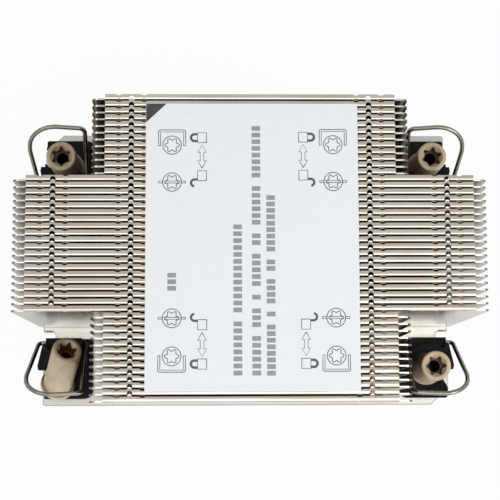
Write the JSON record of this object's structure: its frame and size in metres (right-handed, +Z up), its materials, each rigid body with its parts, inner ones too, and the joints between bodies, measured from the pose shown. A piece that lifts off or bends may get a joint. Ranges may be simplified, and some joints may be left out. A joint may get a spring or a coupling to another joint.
{
  "type": "passive server cpu heatsink",
  "caption": "Finned block heatsink on a flat base plate, with captive six-lobe nuts in plastic brackets and wire bails at its corners.",
  "frame": {"origin": "centre of the base plate's flat underside, which rests on the processor", "axes": "+X along the long side of the base plate and of the fins, +Y across the stack of fins to the back, +Z up from the plate through the fins"},
  "size_m": [0.121, 0.078, 0.0641],
  "materials": {
    "plate": "machined, bright",
    "fins": "bare folded sheet, warm silver",
    "bracket": "moulded, slightly glossy",
    "nut": "moulded, tan",
    "wire": "drawn spring wire",
    "label": "matt white"
  },
  "bodies": {
    "heatsink": {"base_plate": "plate", "fin_01": "fins", "fin_02": "fins", "fin_03": "fins", "fin_04": "fins", "fin_05": "fins", "fin_06": "fins", "fin_07": "fins", "fin_08": "fins", "fin_09": "fins", "fin_10": "fins", "fin_11": "fins", "fin_12": "fins", "fin_13": "fins", "fin_14": "fins", "fin_15": "fins", "fin_16": "fins", "fin_17": "fins", "fin_18": "fins", "fin_19": "fins", "fin_20": "fins", "fin_21": "fins", "fin_22": "fins", "fin_23": "fins", "fin_24": "fins", "fin_25": "fins", "fin_26": "fins", "fin_27": "fins", "fin_28": "fins", "fin_29": "fins", "fin_30": "fins", "fin_31": "fins", "fin_32": "fins", "fin_33": "fins", "fin_34": "fins", "fin_35": "fins", "fin_36": "fins", "fin_37": "fins", "fin_38": "fins", "fin_39": "fins", "fin_40": "fins", "fin_41": "fins", "fin_42": "fins", "fin_43": "fins", "fin_44": "fins", "fin_45": "fins", "bracket_back_left": "bracket", "bracket_back_right": "bracket", "bracket_front_right": "bracket", "bracket_front_left": "bracket", "label": "label"},
    "nut_body_back_left": {"nut_back_left": "nut"},
    "bail_body_back_left": {"bail_back_left": "wire"},
    "nut_body_back_right": {"nut_back_right": "nut"},
    "bail_body_back_right": {"bail_back_right": "wire"},
    "nut_body_front_right": {"nut_front_right": "nut"},
    "bail_body_front_right": {"bail_front_right": "wire"},
    "nut_body_front_left": {"nut_front_left": "nut"},
    "bail_body_front_left": {"bail_front_left": "wire"}
  },
  "joints": [
    {"name": "bail_back_left_fold", "type": "hinge", "parent": "heatsink", "child": "bail_body_back_left", "pos_m": [0, 0.0215, 0.0098], "axis": [1, 0, 0], "range_deg": [-50, 45]},
    {"name": "nut_back_left_turn", "type": "hinge", "parent": "heatsink", "child": "nut_body_back_left", "pos_m": [-0.0509, 0.0287, 0.0149], "axis": [0, 0, 1], "continuous": true},
    {"name": "bail_back_right_fold", "type": "hinge", "parent": "heatsink", "child": "bail_body_back_right", "pos_m": [0, 0.0215, 0.0098], "axis": [1, 0, 0], "range_deg": [-50, 45]},
    {"name": "nut_back_right_turn", "type": "hinge", "parent": "heatsink", "child": "nut_body_back_right", "pos_m": [0.0509, 0.0287, 0.0149], "axis": [0, 0, 1], "continuous": true},
    {"name": "bail_front_right_fold", "type": "hinge", "parent": "heatsink", "child": "bail_body_front_right", "pos_m": [0, -0.0215, 0.0098], "axis": [-1, 0, 0], "range_deg": [-50, 42]},
    {"name": "nut_front_right_turn", "type": "hinge", "parent": "heatsink", "child": "nut_body_front_right", "pos_m": [0.0509, -0.0287, 0.0149], "axis": [0, 0, 1], "continuous": true},
    {"name": "bail_front_left_fold", "type": "hinge", "parent": "heatsink", "child": "bail_body_front_left", "pos_m": [0, -0.0215, 0.0098], "axis": [-1, 0, 0], "range_deg": [-50, 10]},
    {"name": "nut_front_left_rock", "type": "hinge", "parent": "heatsink", "child": "nut_body_front_left", "pos_m": [-0.0509, -0.0287, 0.0169], "axis": [-0.8988, 0.4384, 0], "range_deg": [-33, 0]}
  ]
}
